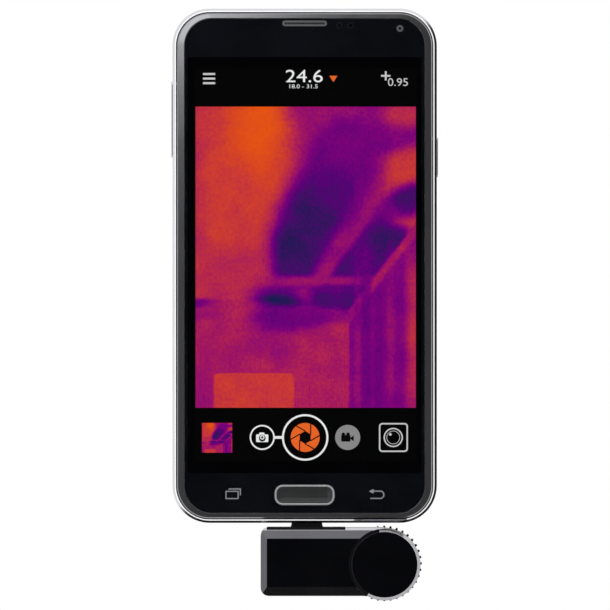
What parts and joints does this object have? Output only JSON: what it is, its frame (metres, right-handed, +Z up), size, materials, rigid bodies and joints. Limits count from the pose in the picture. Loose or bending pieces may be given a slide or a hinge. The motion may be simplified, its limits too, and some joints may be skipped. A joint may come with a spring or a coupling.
{
  "type": "thermal imaging camera",
  "caption": "Pocket thermal imaging camera: a flat sensor head with a ribbed focus ring, plugged into the bottom of the handset that powers it and shows its picture.",
  "frame": {"origin": "centre of the handset's back face", "axes": "+Z up along the handset; the screen faces -Y towards the user and the lens looks along +Y towards the scene; +X to the user's right"},
  "size_m": [0.0738, 0.02, 0.1639],
  "materials": {
    "back_plastic": "satin, fine dots",
    "bright_band": "polished",
    "chassis_alloy": "cast, matt",
    "bezel_lacquer": "satin metallic lacquer",
    "cover_glass": "polished, black border printed behind",
    "display": "lit colour display",
    "key_lacquer": "satin",
    "bright_trim": "polished",
    "switch_dome": "stamped",
    "grille_steel": "satin",
    "module_black": "moulded",
    "camera_black": "gloss",
    "side_key_chrome": "polished",
    "switch_steel": "stamped",
    "battery_wrap": "wrapped pouch cell",
    "circuit_board": "solder mask",
    "shield_steel": "tinned",
    "chip_black": "moulded",
    "port_steel": "plated",
    "connector_black": "moulded",
    "camera_window": "coated",
    "trim_alloy": "turned",
    "flash_lens": "clear yellowish",
    "weight_metal": "sintered",
    "screw_steel": "blackened",
    "head_black": "black anodised, polished",
    "gasket_rubber": "moulded",
    "plate_rubber": "smooth",
    "plug_steel": "plated",
    "contact_gold": "plated",
    "ring_black": "satin, ribbed",
    "washer_black": "matt",
    "barrel_alloy": "black anodised",
    "retainer_black": "black anodised",
    "cell_alloy": "black anodised, threaded look",
    "infrared_lens": "polished, dark mirror-like, opaque to the eye",
    "blade_steel": "thin sheet",
    "actuator_brown": "wound coil",
    "sensor_ceramic": "fired",
    "infrared_window": "polished, opaque to the eye",
    "spreader_alloy": "milled"
  },
  "bodies": {
    "handset": {"back_cover": "back_plastic", "side_band": "bright_band", "chassis": "chassis_alloy", "front_bezel": "bezel_lacquer", "cover_glass": "cover_glass", "display_panel": "display", "home_switch": "switch_dome", "earpiece_grille": "grille_steel", "earpiece_speaker": "module_black", "front_camera": "camera_black", "front_sensors": "camera_black", "power_switch": "switch_steel", "volume_switches": "switch_steel", "battery": "battery_wrap", "main_board": "circuit_board", "board_shields": "shield_steel", "board_chips": "chip_black", "charge_board": "circuit_board", "usb_receptacle": "port_steel", "receptacle_tongue": "connector_black", "loudspeaker": "module_black", "rear_camera": "camera_black", "rear_camera_window": "camera_window", "rear_camera_trim": "trim_alloy", "camera_flash": "flash_lens", "vibration_motor": "port_steel", "audio_jack": "connector_black", "chassis_screws": "screw_steel"},
    "home_button": {"home_key": "key_lacquer", "home_key_trim": "bright_trim"},
    "power_button": {"power_key": "side_key_chrome"},
    "volume_button": {"volume_rocker": "side_key_chrome"},
    "vibrator_weight": {"vibration_weight": "weight_metal"},
    "sensor_head": {"rear_shell": "head_black", "front_shell": "head_black", "shell_gasket": "gasket_rubber", "rear_cap": "head_black", "top_plate": "plate_rubber", "plug_boss": "connector_black", "plug_shell": "plug_steel", "plug_insert": "connector_black", "plug_contacts": "contact_gold", "drag_washer": "washer_black", "lens_barrel": "barrel_alloy", "ring_retainer": "retainer_black", "shutter_frame": "shield_steel", "shutter_actuator": "actuator_brown", "sensor_board": "circuit_board", "thermal_sensor": "sensor_ceramic", "sensor_window": "infrared_window", "heat_spreader": "spreader_alloy", "logic_board": "circuit_board", "shell_screws": "screw_steel"},
    "focus_grip": {"focus_ring": "ring_black"},
    "lens_group": {"lens_cell": "cell_alloy", "focus_pin": "screw_steel", "front_lens": "infrared_lens", "rear_lens": "infrared_lens", "lens_retainer": "retainer_black"},
    "shutter": {"shutter_blade": "blade_steel"}
  },
  "joints": [
    {"name": "plug_slide", "type": "slide", "parent": "handset", "child": "sensor_head", "axis": [0, 0, -1], "range_m": [0, 0.009]},
    {"name": "focus_turn", "type": "hinge", "parent": "sensor_head", "child": "focus_grip", "pos_m": [0.02205, 0, -0.08245], "axis": [0, 1, 0], "range_deg": [-120.1, 120.1]},
    {"name": "lens_travel", "type": "slide", "parent": "sensor_head", "child": "lens_group", "axis": [0, 1, 0], "range_m": [-0.0008, 0.0008]},
    {"name": "shutter_swing", "type": "hinge", "parent": "sensor_head", "child": "shutter", "pos_m": [0.01405, -0.0003, -0.08595], "axis": [0, 1, 0], "range_deg": [0, 45]},
    {"name": "home_press", "type": "slide", "parent": "handset", "child": "home_button", "axis": [0, 1, 0], "range_m": [0, 0.0003], "stiffness_N_per_m": 4000, "springref_m": -0.0001},
    {"name": "power_press", "type": "slide", "parent": "handset", "child": "power_button", "axis": [-1, 0, 0], "range_m": [0, 0.0003], "stiffness_N_per_m": 4000, "springref_m": -0.0001},
    {"name": "volume_rock", "type": "hinge", "parent": "handset", "child": "volume_button", "pos_m": [-0.0357, -0.0044, 0.0404], "axis": [0, 1, 0], "range_deg": [-1.5, 1.5], "stiffness_Nm_per_rad": 0.2},
    {"name": "vibrator_spin", "type": "hinge", "parent": "handset", "child": "vibrator_weight", "pos_m": [0.0189, -0.003, 0.0605], "axis": [1, 0, 0], "continuous": true}
  ],
  "couplings": [
    {"joint": "focus_turn", "follows": "lens_travel", "rad_per_m": 2618}
  ]
}
